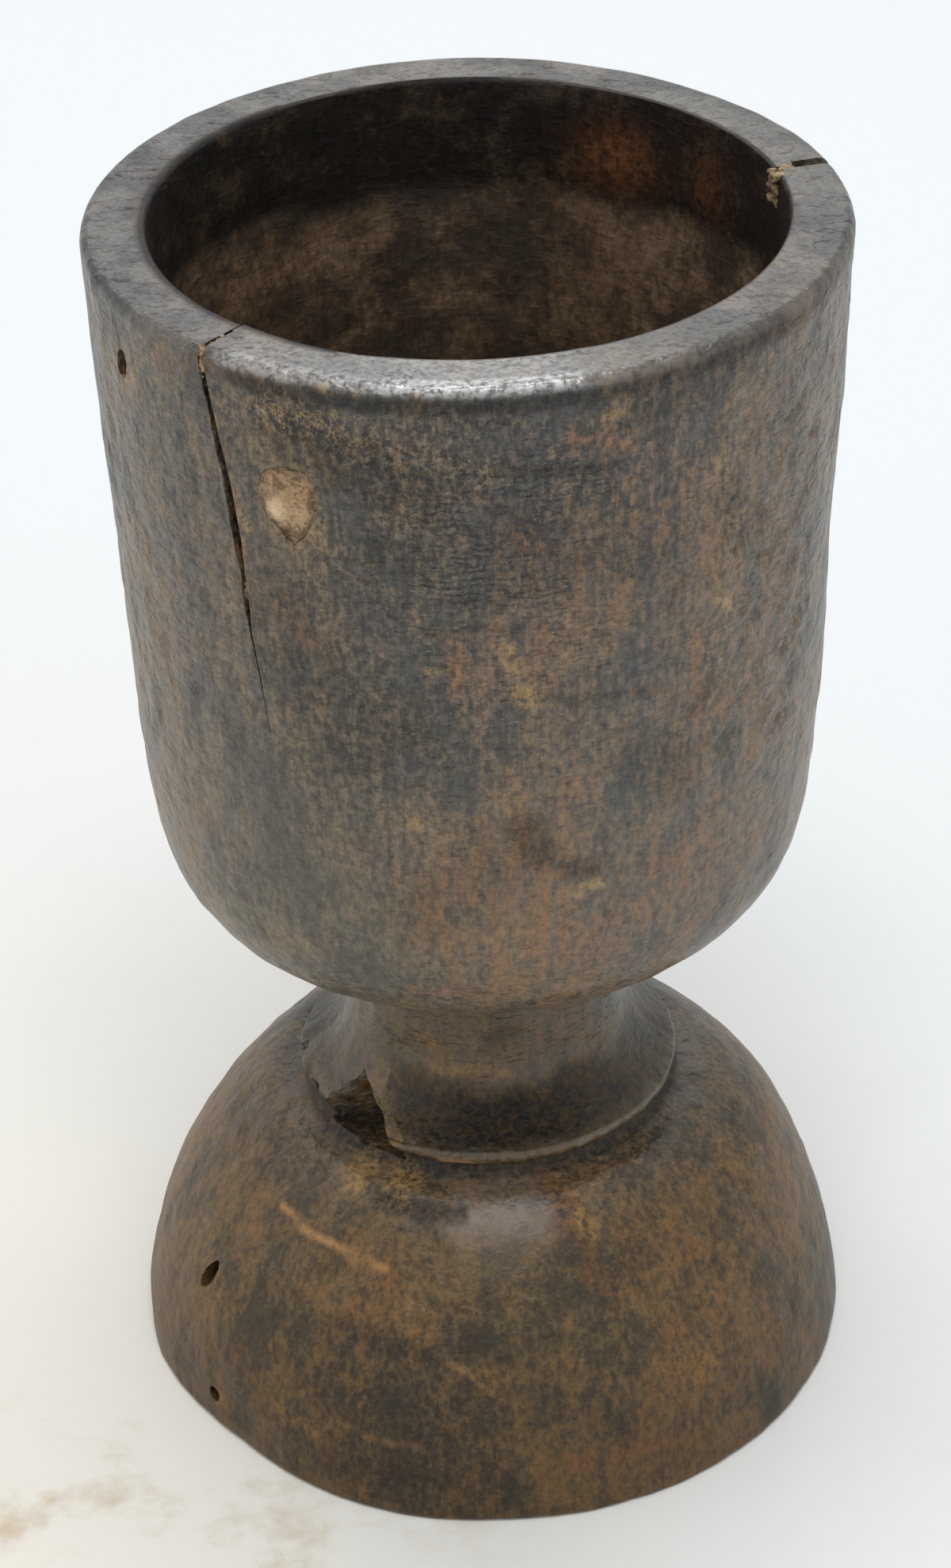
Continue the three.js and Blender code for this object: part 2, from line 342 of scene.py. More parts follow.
def shapeByHand(body):
    points = readPoints(body)
    normals = readPoints(body, "normal")
    azimuth, radius, height = cylinderOf(points)
    hollow = (height > hollowLow) & (radius < mouthRadius + 0.2)
    rimTop = (height > rimHeight - 1.2) & ~hollow
    outside = (height > 0.3) & ~hollow
    push = 0.2 * lumpy(points / mm, 27, 1, 1) + 0.12 * lumpy(points / mm, 10, 2, 2)
    push += 0.1 * lumpy(points / mm, 3.2, 3, 2)
    push[rimTop] *= 0.6
    inner = 0.32 * lumpy(points / mm, 13, 4, 2) + 0.12 * lumpy(points / mm, 4.5, 5, 2)
    push = np.where(hollow, inner * smoothStep(0, 4, rimHeight - height), push)
    for around, up, spanRound, spanUp, amount in wear:
        near = mound(azimuth, height, around, spanRound, up, spanUp)
        if up < 1:
            worn = amount * near * (radius > 45) * (height < 40)
        else:
            push += np.where(outside, amount * near, 0)
    dice = np.random.default_rng(41)
    for turns, heights, count, long, wide, deep, slope in toolMarks.values():
        for _ in range(count):
            around = dice.uniform(*turns)
            up = dice.uniform(*heights)
            length, width = long * dice.uniform(0.5, 1.3), wide * dice.uniform(0.7, 1.5)
            tilt = math.radians(slope + dice.normal(0, 12))
            beside = np.abs(turnBetween(azimuth, around)) < length * 2
            near = np.flatnonzero(beside & (np.abs(height - up) < length))
            x = np.radians(turnBetween(azimuth[near], around)) * radius[near]
            y = height[near] - up
            along = (x * math.cos(tilt) + y * math.sin(tilt)) / (length / 2)
            across = (y * math.cos(tilt) - x * math.sin(tilt)) / (width / 2)
            cut = np.exp(-(along**4) - across**2) - 0.35 * np.exp(-(along**4) - (across - 1.7) ** 2)
            push[near] -= np.where(outside[near] & ~rimTop[near], deep * dice.uniform(0.5, 1.4) * cut, 0)
    # the bore is a little tight at the left, and the wood right of the front crack stands in
    step = smoothStep(-132.4, -131.2, azimuth) * smoothStep(-108, -128, azimuth)
    edge = smoothStep(mouthRadius + 2.6, mouthRadius, radius) * (radius < mouthRadius + 2.5) * (height > 150)
    inward = edge * (0.45 * np.exp(-((turnBetween(azimuth, 180) / 40) ** 2)) + 0.4 * step)
    inward -= worn
    # the lip is chipped back towards the split
    lip = (np.abs(height - (lipBottom + lipTop) / 2) < 1.3) & (radius > 26)
    chip = smoothStep(-110, -118, azimuth) * (azimuth < 0) * (0.7 + 0.8 * lumpy(points / mm, 2.6, 8, 2))
    chip += 0.25 * np.abs(lumpy(points / mm, 3, 9, 2))
    push -= np.where(lip, np.clip(chip, 0, 1.8), 0)
    points += normals * (push * mm)[:, None]
    outward = np.stack([np.cos(np.radians(azimuth)), np.sin(np.radians(azimuth)), np.zeros(len(points))], 1)
    points -= outward * (inward * mm)[:, None]
    azimuth, radius, height = cylinderOf(points)
    keep = np.minimum(1, cupShape["footRadius"] / np.maximum(radius, 1e-6))
    points[:, :2] *= keep[:, None]
    points[:, 2] = np.clip(points[:, 2], 0, rimHeight * mm)
    writePoints(body, points)


# What the body has lost. A crack's path is a list of azimuth, height and width, and its blade
# runs in to a root radius.
cracks = {
    "front": {
        "root": 43.8,
        "path": [
            (-131.5, 184, 0.3), (-131.3, 181, 0.34), (-131, 178.6, 0.75), (-130.5, 175.2, 0.95),
            (-130.1, 173.4, 0.8), (-129.6, 171.4, 1.05), (-129.2, 169.2, 0.92), (-128.8, 167, 1.2),
            (-128.4, 164.8, 1.1), (-128.1, 162.4, 1.4), (-127.8, 160, 1.22), (-127.5, 157.6, 1.36),
            (-127.2, 155, 1.3), (-127, 152.4, 1.05), (-126.8, 150.2, 0.62), (-126.7, 148.6, 0.8),
            (-126.6, 146.8, 0.95), (-126.45, 144.8, 0.9), (-126.3, 143.2, 0.5), (-126.1, 141, 0.26),
            (-125.6, 137.6, 0.2), (-125.1, 134, 0.2), (-124.6, 130, 0.14), (-124.1, 126, 0.05),
        ],
    },
    "frontRim": {
        "root": 40,
        "path": [(-131.75, 184, 0.3), (-131.6, 180, 0.24), (-131.5, 178.2, 0.16), (-131.4, 176.4, 0.05)],
    },
    "back": {
        "root": 44.5,
        "path": [
            (14.4, 184, 1.9), (14.2, 180, 1.9), (14.1, 176, 1.6), (13.8, 172, 1.75), (13.9, 168, 1.4),
            (13.5, 164, 1.5), (13.2, 160, 1.1), (13.4, 156, 0.9), (13, 152, 0.6), (12.9, 148, 0.35),
            (12.7, 143, 0.2), (12.9, 138, 0.05),
        ],
    },
    "backRim": {
        "root": 40,
        "path": [(14.2, 184, 0.5), (13.9, 180, 0.45), (13.6, 177, 0.3), (13.7, 174, 0.05)],
    },
}

# Old holes: azimuth, height, width, tall, depth and tilt of the oval
holes = [
    (-151.5, 172.2, 2.6, 4.6, 6, -18),
    (-151.3, 22.5, 2.4, 5.4, 7, -24),
    (-144.5, 5.5, 2.4, 2.6, 7, 0),
]

# The shallow loss in the front wall, as offsets round and up from its middle
wallLoss = {
    "around": -117.5,
    "up": 162,
    "deep": 1.5,
    "outline": [
        (-3.8, 3.6), (-3.1, 4.7), (-1.8, 5.4), (-0.4, 5.3), (1.2, 5.6), (2.6, 5.3), (3.5, 4.1),
        (3.8, 2.6), (4.1, 1), (3.4, -0.6), (2.9, -2.2), (2, -3.8), (1.2, -4.6), (0.3, -5.4),
        (-0.6, -4.6), (-1.4, -3.6), (-2.6, -2.6), (-3.6, -1.3), (-4.1, 0.2), (-4.1, 2),
    ],
}

# The piece split off the lip: two faces of the gap, how far it reaches, and its bed and top heights
splitLip = {"face": -14, "lean": 0.7, "back": -13, "reach": 31, "bed": 43.3, "top": 53}
# How far out each kind of blade ends, beyond the wall
bladeEnd = {"crack": 56, "hole": 57, "loss": 55}


def wallRadiusAt(height):
    s = cupShape
    share = (height - bowlBottom - s["cheekHeight"]) / (s["bowlHeight"] - s["cheekHeight"])
    return cheekRadius + share * (s["rimRadius"] - cheekRadius)


def footRadiusAt(height):
    rows = traceCup() / mm
    flank = rows[(rows[:, 0] > 30) & (rows[:, 1] < cupShape["footHeight"]) & (rows[:, 1] > 0)]
    return float(np.interp(height, flank[:, 1], flank[:, 0]))


def frameAt(azimuth):
    turn = math.radians(azimuth)
    outward = Vector((math.cos(turn), math.sin(turn), 0))
    return outward, Vector((0, 0, 1)).cross(outward), Vector((0, 0, 1))


def radialBlade(name, outline, azimuth, fromRadius, toRadius):
    outward, along, up = frameAt(azimuth)
    deselectAll()
    bpy.ops.mesh.primitive_circle_add(vertices=len(outline), radius=0.01, fill_type="NGON")
    blade = named(name)
    for vertex, (x, y) in zip(blade.data.vertices, outline):
        vertex.co = (outward * fromRadius + along * x + up * y) * mm
    setMode("EDIT")
    selectAll()
    extrude(outward * (toRadius - fromRadius) * mm)
    selectAll()
    bpy.ops.mesh.normals_make_consistent(inside=False)
    setMode("OBJECT")
    return blade


def crackBlade(name, crack):
    middle = crack["path"][0][0]
    left, right = [], []
    for azimuth, height, width in crack["path"]:
        x = wallRadiusAt(height) * math.sin(math.radians(azimuth - middle))
        left.append((x - width / 2, height))
        right.append((x + width / 2, height))
    return radialBlade(name, left + right[::-1], middle, crack["root"], bladeEnd["crack"])


def holeBlade(name, around, up, wide, tall, deep, tilt):
    surface = wallRadiusAt(up) if up > bowlBottom else footRadiusAt(up)
    cos, sin = math.cos(math.radians(tilt)), math.sin(math.radians(tilt))
    outline = []
    dice = np.random.default_rng(int(up))
    for i in range(20):
        turn = i / 20 * 2 * math.pi
        ragged = 1 + dice.uniform(-0.07, 0.07)
        x, y = wide / 2 * ragged * math.cos(turn), tall / 2 * ragged * math.sin(turn)
        outline.append((x * cos - y * sin, up + x * sin + y * cos))
    return radialBlade(name, outline, around, surface - deep, bladeEnd["hole"])


def splitBlock():
    s = splitLip
    deselectAll()
    bpy.ops.mesh.primitive_cube_add(size=1)
    block = named("splitBlock")
    low = Vector((-s["reach"], -s["reach"], s["bed"]))
    high = Vector((s["face"], s["back"], s["top"]))
    for vertex in block.data.vertices:
        vertex.co = Vector((high[k] if vertex.co[k] > 0 else low[k] for k in range(3))) * mm
    setMode("EDIT")
    selectAll()
    bpy.ops.mesh.subdivide(number_cuts=24)
    setMode("OBJECT")
    points = readPoints(block)
    rough = 0.5 * lumpy(points / mm, 3.2, 21, 3)
    grain = 0.35 * lumpy(points / mm * np.array([1, 1, 0.2]), 0.9, 22, 1)
    points[:, 0] += (rough + grain) * mm - (points[:, 2] - 46 * mm) * s["lean"] * (points[:, 0] > -25 * mm)
    points[:, 1] += rough * mm
    points[:, 2] += (rough + 0.3) * mm
    writePoints(block, points)
    return block


def cutLosses(body):
    blades = [crackBlade(name + "Blade", crack) for name, crack in cracks.items()]
    blades += [holeBlade(f"hole{i}", *hole) for i, hole in enumerate(holes)]
    outline = [(x, wallLoss["up"] + y) for x, y in wallLoss["outline"]]
    floor = wallRadiusAt(wallLoss["up"]) - wallLoss["deep"]
    blades.append(radialBlade("lossBlade", outline, wallLoss["around"], floor, bladeEnd["loss"]))
    blades.append(splitBlock())
    for blade in blades:
        applyModifier(body, "BOOLEAN", operation="DIFFERENCE", solver="MANIFOLD", object=blade)
        bpy.data.objects.remove(blade)


# How the surface looks from place to place. Each mark is a width, a strength and a path of
# azimuth and height.
darkMarks = [
    (9, 0.3, [(-118, 20), (-100, 17), (-84, 20)]),
    (8, 0.3, [(-112, 8), (-92, 6)]),
    (7, 0.22, [(-140, 24), (-134, 12)]),
    (8, 0.28, [(-120, 148), (-112, 128)]),
    (9, 0.25, [(-84, 158), (-66, 156)]),
    (7, 0.22, [(-100, 102), (-88, 112)]),
    (3.6, 0.59, [(-83.5, 115.5), (-81.5, 111.5)]),
    (2.2, 0.52, [(-77, 108.8), (-73, 108)]),
    (1.1, 0.52, [(-86.3, 169.8), (-77, 168.7), (-68.8, 168.3)]),
    (0.9, 0.39, [(-94.7, 151), (-86, 151.4), (-78.5, 151.8)]),
    (0.9, 0.33, [(-85.4, 155.4), (-75, 155.2), (-66.2, 154.9)]),
    (0.9, 0.36, [(-80.9, 136), (-70, 134.4), (-61.5, 133.4)]),
    (0.8, 0.33, [(-92, 147), (-84, 146.6)]),
    (1.5, 0.65, [(-8.6, 170), (-7.6, 169)]),
    (2.2, 0.49, [(-119.5, 26.6), (-110, 25.2), (-101.1, 25.3), (-92.9, 27.7)]),
    (3, 0.59, [(-113, 7.2), (-106, 6.4), (-97, 6.8)]),
    (3.5, 0.29, [(-76, 18), (-70, 13)]),
    (2.2, 0.39, [(-62.5, 34.6), (-60, 34.2)]),
    (2.5, 0.33, [(-88, 62), (-80, 63)]),
    # painted shade along the cut line at the foot's shoulder
    (1.1, 0.8, [(-119, 41.4), (-108, 41.2), (-97, 41.3)]),
    # painted shade under the rim's rounded front edge
    (1.5, 0.75, [(-126, 178.6), (-90, 178.7), (-60, 178.7), (-38, 178.8)]),
    (1.2, 0.5, [(-38, 178.6), (-10, 179), (20, 179)]),
    (5, 0.36, [(-50, 178), (-66, 176)]),
    (1.2, 0.39, [(-60, 146), (-57, 149)]),
    (1.3, 0.39, [(-55, 128), (-51, 132)]),
    (1.3, 0.39, [(-47, 150), (-43, 155)]),
    (6, 0.26, [(-112, 127), (-104, 132)]),
    (5, 0.26, [(-122, 138), (-118, 133)]),
    (5, 0.33, [(-64, 124), (-58, 120)]),
    (9, 0.12, [(-46, 94), (-34, 100)]),
    (5, 0.34, [(-115, 171), (-106, 169), (-98, 166)]),
    (4, 0.28, [(-104, 158), (-98, 156)]),
    (8, 0.09, [(-112, 87), (-60, 87)]),
]
tanMarks = [
    (1.5, 0.75, [(-137.5, 51.4), (-130.7, 49.5), (-124.9, 48.1), (-121.2, 46.7)]),
    (1.6, 0.75, [(-85.3, 143), (-84.4, 140.8)]),
    (1.9, 1, [(-83.8, 136.8), (-82.4, 136)]),
    (0.9, 0.8, [(-101.8, 117), (-99.8, 117)]),
    (1.4, 0.95, [(-50, 143.9), (-48.4, 141.7)]),
    (0.7, 1, [(-97.3, 140.3), (-96.9, 140.3)]),
    (1.8, 0.6, [(-51.6, 163.8), (-50.2, 162.2)]),
    (0.8, 0.9, [(-74.6, 104.4), (-70.8, 105.4)]),
    (0.9, 0.85, [(-71, 175.2), (-67.8, 175.4)]),
    (0.8, 0.8, [(-111, 179.9), (-110.2, 179.9)]),
    (0.7, 0.7, [(-106.3, 179.9), (-105.8, 179.9)]),
    (0.8, 0.9, [(-97.8, 179.6), (-97.7, 178.4)]),
    (1.3, 0.8, [(-112, 56.1), (-96, 56.6), (-84, 56.3)]),
    (1.6, 0.6, [(-117, 60.9), (-113, 60.6)]),
    (1.4, 0.8, [(-131, 53.2), (-128, 52.6)]),
    (1.3, 0.7, [(-139, 54), (-131, 51.5), (-124, 49.3), (-118.5, 47.6)]),
    (1.3, 0.5, [(-72, 52.6), (-69, 52.6)]),
    (2, 0.95, [(-130, 43.6), (-126, 42.2)]),
    (2, 0.9, [(-117, 42.8), (-112, 42)]),
    (1.5, 0.95, [(-69.3, 39.8), (-68, 38.3)]),
    (3.4, 0.45, [(-55, 19), (-52.5, 16.5)]),
    (1.3, 0.65, [(-128.3, 11.4), (-125, 10.6), (-121.5, 10.2)]),
    (1.8, 0.45, [(-92, 23.4), (-90.6, 22.5)]),
    (1.1, 0.7, [(-149.6, 170.6), (-150.6, 169.7)]),
    (1.6, 0.55, [(-147.5, 172.5), (-147.4, 169.5)]),
    (1.5, 0.8, [(-142.4, 5.2), (-141.2, 5.2)]),
    (1, 0.8, [(-129.4, 172), (-129, 170.4)]),
    (0.9, 0.8, [(-125.5, 158.6), (-125, 157.2)]),
    (2, 0.4, [(14, 178), (20, 176)]),
    (5.6, 0.55, [(-117.6, 165), (-117.3, 160)]),
    (3.4, 0.5, [(-122, 170), (-113, 168.5)]),
    (3.2, 0.45, [(-151.5, 173.4), (-151.2, 170)]),
    (3, 0.35, [(-150, 23), (-148.5, 20)]),
]
rustMarks = [
    (1.6, 0.55, [(-141.3, 36.2), (-133.8, 35.7), (-126.7, 35.4), (-119.3, 35.1), (-112.6, 34.9)]),
    (3.6, 0.6, [(-129, 180.9), (-120, 180.9)]),
    (3.6, 0.5, [(-40, 180.9), (-22, 180.9)]),
    (1.4, 0.8, [(-113, 34.6), (-109.5, 32.8)]),
    (2.8, 0.95, [(-73.5, 40.8), (-70, 40.2)]),
    (1.8, 0.7, [(-70, 38), (-70.8, 33.9)]),
    (3, 0.6, [(-67, 32.6), (-62.5, 31.4)]),
    (2.6, 0.5, [(-60.5, 38.3), (-58.5, 37.8)]),
    (2.6, 0.55, [(-48.5, 31.8), (-46.5, 30.6)]),
    (2.6, 0.55, [(-58, 25), (-56.6, 23)]),
    (2.8, 0.6, [(-48.5, 20.6), (-47.6, 18)]),
    (1.7, 0.95, [(-77.5, 9.2), (-72, 9), (-66, 8.7)]),
    (2.2, 0.6, [(-66, 8.4), (-60, 7.8)]),
    (1.2, 1, [(-77, 43), (-73.5, 43.1)]),
    (1.7, 0.95, [(-115.8, 29.7), (-114.6, 29.1)]),
    (1.6, 0.75, [(-103.9, 29.2), (-102.6, 28.4)]),
    (4, 0.5, [(-148, 34), (-146, 30)]),
    (1.6, 0.85, [(-119.2, 7.7), (-118.4, 6.8)]),
    (2.4, 0.8, [(-62, 104.8), (-56.5, 105.8)]),
    (1.8, 0.8, [(-52, 106.4), (-50.4, 108.4)]),
    (1.8, 0.65, [(-90.2, 117), (-90.2, 111)]),
    (2, 0.7, [(-81, 146), (-79.4, 143)]),
    (1.6, 0.8, [(-93.4, 146), (-93, 138)]),
    (1.5, 0.7, [(-57, 166), (-57, 160)]),
    (2.2, 0.75, [(-82.6, 161), (-81.6, 157.5)]),
    (2.8, 0.75, [(-74.6, 172.8), (-71, 172)]),
    (1.6, 0.7, [(-68.4, 171.4), (-67, 170.6)]),
    (1.4, 0.35, [(-127.9, 168), (-127, 158), (-126.2, 149)]),
    (2, 0.6, [(-99, 108), (-99, 101)]),
    (2.6, 0.6, [(-72, 98), (-64, 99)]),
    (2, 0.7, [(-58, 90), (-50, 93)]),
    (1.4, 0.6, [(-103, 88), (-92, 88.6)]),
    (1.6, 0.75, [(-27, 179.6), (-44, 179.4)]),
    (3, 0.45, [(-120, 147), (-116, 143)]),
    (3.5, 0.5, [(-138, 178), (-134, 180)]),
]
scarMarks = [
    (0.5, 0.8, [(-141.3, 36.4), (-133.8, 35.7), (-126.7, 35.4), (-119.3, 35.1), (-112.6, 34.9)]),
    (0.6, 0.35, [(-98, 24.5), (-93.5, 22.6), (-91, 20.4)]),
    (0.5, 0.3, [(-106.4, 31.5), (-105.4, 28.6)]),
    (0.7, 0.8, [(-104, 45.9), (-96, 45.9)]),
    (0.5, 0.28, [(-118, 13.6), (-110, 12.2), (-102, 11.8)]),
]
# Sheen marks lower the roughness and also carry painted highlight colour on the rim's front edge, the foot's
# shoulder and the lip
sheenMarks = [
    (4.5, 1, [(-99, 180), (-87, 180.1), (-78, 180)]),
    (3, 0.5, [(-126, 180), (-104, 180)]),
    (3, 0.6, [(-97, 40.2), (-86.5, 40), (-79, 40.2)]),
    (4.5, 0.3, [(-94, 38.6), (-84, 38.6)]),
    (2, 0.5, [(-60, 47.2), (-30, 47.2)]),
]
crustMarks = [
    (5, 1, [(-119, 175), (-112, 174)]),
    (4.5, 0.7, [(-111, 173), (-104, 172.5)]),
    (5, 0.5, [(-108, 170.5), (-98, 171.5), (-90, 169)]),
    (4, 0.45, [(-103, 165.5), (-97, 164.5)]),
    (4, 0.35, [(-116, 153), (-110, 156), (-104, 151)]),
    (2.5, 0.35, [(-97, 176), (-84, 176.5)]),
    (2.5, 0.3, [(-99, 132), (-95, 126)]),
    (3, 0.3, [(-52, 168), (-47, 155), (-50, 146)]),
    (2.5, 0.3, [(-54, 140), (-50, 133), (-53, 127)]),
    (2.6, 0.5, [(-129.5, 176), (-125, 170)]),
]
combMarks = [
    (5, 1, [(-94, 163), (-82, 161)]),
    (6, 0.9, [(-92, 154), (-80, 153)]),
    (4.5, 0.8, [(-84, 168), (-70, 167)]),
    (4, 0.6, [(-86, 146), (-72, 145)]),
]


def markMask(azimuth, radius, height, marks):
    made = np.zeros(len(azimuth))
    scale = np.radians(1) * radius
    for width, strength, path in marks:
        near = np.full(len(azimuth), 1e9)
        for (fromTurn, fromUp), (toTurn, toUp) in zip(path, path[1:] or path):
            x, y = turnBetween(azimuth, fromTurn) * scale, height - fromUp
            runX, runY = (toTurn - fromTurn) * scale, toUp - fromUp
            share = np.clip((x * runX + y * runY) / (runX**2 + runY**2 + 1e-9), 0, 1)
            near = np.minimum(near, np.hypot(x - share * runX, y - share * runY))
        made = np.maximum(made, strength * smoothStep(width * 1.25, width * 0.25, near))
    return made


def storeMask(piece, name, values):
    layer = piece.data.attributes.new(name, "FLOAT", "POINT")
    layer.data.foreach_set("value", np.clip(values, 0, 1).astype(np.float32))


def markSurface(body):
    points = readPoints(body)
    azimuth, radius, height = cylinderOf(points)
    hollow = ((height > hollowLow) & (radius < mouthRadius + 0.75)).astype(float)
    outside = 1 - hollow

    def near(*place):
        return mound(azimuth, height, *place)

    def marked(marks):
        return markMask(azimuth, radius, height, marks) * outside

    rows = traceCup() / mm
    outline = rows[: int(np.argmax(rows[:, 1]))]
    skin = np.interp(height, outline[:, 1], outline[:, 0])
    # painted shade: the walls of cracks, holes and the loss darken with depth below the turned skin
    cut = smoothStep(1, 1.8, skin - radius) * outside * (height > 3) * (height < rimHeight - 1.5)
    cut = np.where((height > 33) & (height < 110), 0, cut)
    # painted shade in the groove under the lip
    groove = smoothStep(42, 43, height) * smoothStep(45.9, 45.2, height) * smoothStep(28.6, 27.4, radius)
    # the neck just above the lip is darker towards the front: partly dirt, partly painted shade under the
    # bowl
    ragged = height + lumpy(points / mm, 6, 32, 2) * 2
    neckFoot = smoothStep(46.8, 48.2, height) * smoothStep(56.5, 52, ragged) * smoothStep(28.2, 27.2, radius)
    neckFoot = neckFoot * (0.4 + 0.6 * near(-84, 44, 50, 60)) * (azimuth > -132)
    # dirt from the dark marks, with painted shade from the groove, the neck and the cut walls
    grimeAndShade = np.maximum.reduce([marked(darkMarks), groove * 0.8, neckFoot, cut])
    # the rounded edge of the rim shines, its flat top less
    onRim = (0.3 + 0.7 * smoothStep(47.2, 48, radius)) * smoothStep(179.5, 180.2, height)
    rub = 0.25 + 0.6 * near(-62, 26, 128, 42) + 0.45 * near(-80, 50, 98, 14)
    rub += 0.5 * near(-55, 34, 24, 22) + 0.3 * near(-140, 30, 16, 16)
    rub += 0.3 * near(100, 60, 120, 50) + 0.3 * near(170, 40, 30, 20)
    rub -= 0.2 * near(-100, 16, 15, 12) + 0.15 * near(-112, 14, 128, 16)
    rim = smoothStep(rimHeight - 2.4, rimHeight - 0.6, height) * (radius > mouthRadius - 1)
    # the lip's edge takes the rim's paler colour: partly wear, partly a painted highlight
    lip = (np.abs(height - (lipBottom + lipTop) / 2) < 1.2) * smoothStep(27.2, 27.8, radius) * (radius < 28.5)
    # painted shade on the rim's top: darker at the sides and back, most at the left, the front spared
    shaded = 0.75 + 0.3 * near(180, 50, 181, 60) + 0.3 * lumpy(points / mm, 8, 33, 2)
    cool = 0.9 * near(-92, 34, 170, 16) + 0.6 * near(-104, 18, 135, 20) + 0.5 * near(-105, 14, 14, 14)
    masks = {
        "grimeAndShade": grimeAndShade * (1 - 0.85 * markMask(azimuth, radius, height, tanMarks[:1])),
        "hollowBand": hollow * smoothStep(162.5, 166.5, height + 1.6 * lumpy(points / mm, 9, 31, 2)),
        "hollow": hollow,
        "tan": marked(tanMarks),
        "rust": marked(rustMarks),
        "sheen": marked(sheenMarks) * np.where(height > 170, onRim, 1),
        "scar": marked(scarMarks),
        "crust": marked(crustMarks),
        "combed": marked(combMarks),
        "rub": rub * outside,
        "rim": np.maximum(rim, lip * 0.35),
        "rimShade": rim * (1 - near(-90, 42, 181, 60)) * shaded,
        "cool": outside * cool,
        "innerRust": hollow * np.maximum(near(60, 8, 171, 5), 0.5 * near(38, 6, 172, 6)),
    }
    for name, values in masks.items():
        storeMask(body, name, values)


def addNode(tree, kind, inputs=None, **settings):
    made = tree.nodes.new(kind)
    for name, value in settings.items():
        setattr(made, name, value)
    for key, value in (inputs or {}).items():
        if isinstance(value, bpy.types.NodeSocket):
            tree.links.new(value, made.inputs[key])
        else:
            made.inputs[key].default_value = value
    return made


def paint(colour):
    if not isinstance(colour, str):
        return colour
    parts = [int(colour[i : i + 2], 16) / 255 for i in (0, 2, 4)]
    return tuple(c / 12.92 if c < 0.04045 else ((c + 0.055) / 1.055) ** 2.4 for c in parts) + (1,)


def mathNode(kind, tree, first, second):
    return addNode(tree, "ShaderNodeMath", {0: first, 1: second}, operation=kind).outputs[0]


def levelNode(tree, value, low, high, toLow=0.0, toHigh=1.0):
    inputs = {"Value": value, "From Min": low, "From Max": high, "To Min": toLow, "To Max": toHigh}
    return addNode(tree, "ShaderNodeMapRange", inputs, interpolation_type="SMOOTHSTEP").outputs["Result"]


def layerNode(tree, share, under, over, kind="MIX"):
    inputs = {0: share, 6: paint(under), 7: paint(over)}
    return addNode(tree, "ShaderNodeMix", inputs, data_type="RGBA", blend_type=kind).outputs[2]


def placeNode(tree):
    return addNode(tree, "ShaderNodeTexCoord").outputs["Object"]


def speckleNode(tree, size, stretch=(1, 1, 1), detail=3.0, seed=0.0, rough=0.55):
    inputs = {"Vector": placeNode(tree), "Location": (seed, seed * 0.7, seed * 1.3), "Scale": stretch}
    shaped = addNode(tree, "ShaderNodeMapping", inputs)
    inputs = {"Vector": shaped.outputs[0], "Scale": 1 / (size * mm), "Detail": detail, "Roughness": rough}
    return addNode(tree, "ShaderNodeTexNoise", inputs).outputs[0]


def maskNode(tree, name):
    return addNode(tree, "ShaderNodeAttribute", attribute_name=name).outputs["Fac"]


# The makers of nodes for one tree: level, layer, speckle, mask, plus, times, minus, most
def brushes(tree):
    sums = [partial(mathNode, kind) for kind in ("ADD", "MULTIPLY", "SUBTRACT", "MAXIMUM")]
    return [partial(make, tree) for make in (levelNode, layerNode, speckleNode, maskNode, *sums)]


def newLook(name):
    look = bpy.data.materials.new(name)
    look.use_nodes = True
    return look, look.node_tree, look.node_tree.nodes["Principled BSDF"]


def wearLook(piece, look):
    piece.data.materials.clear()
    piece.data.materials.append(look)


# Colours and sizes of the old wood, sizes in millimetres
woodLook = {
    # near-black for dirt and for painted shade
    "sootAndShade": "12100e",
    "cold": "42413e",
    "umber": "746956",
    "brown": "84603b",
    "rust": "8a5c30",
    "gold": "9c7b45",
    "straw": "ad9266",
    "ash": "756d65",
    "hollowDark": "191411",
    "hollowShade": "3c2f24",
    "hollowBrown": "70583f",
    "hollowPale": "84705a",
    "innerRust": "7c4e2d",
    "footCold": "453f36",
    "footTint": "e8d199",
    "neckTint": "c9bc98",
    # painted sheen colour for the foot's shoulder and the lip
    "paintedSheen": "98929c",
    "scar": "c9a789",
    # painted highlight colour for the rim's rounded edge
    "bare": "cdcfd0",
    "zone": 24,
    "patch": 7,
    "streak": 1.7,
    "grit": 0.9,
    "fibre": 0.35,
    "crumb": 1.1,
    "weave": 1.5,
    "cloud": 8,
    "crease": 2.4,
    "crack": 1.2,
    "dent": 4.5,
    "sand": 0.8,
    "gloss": 0.37,
}


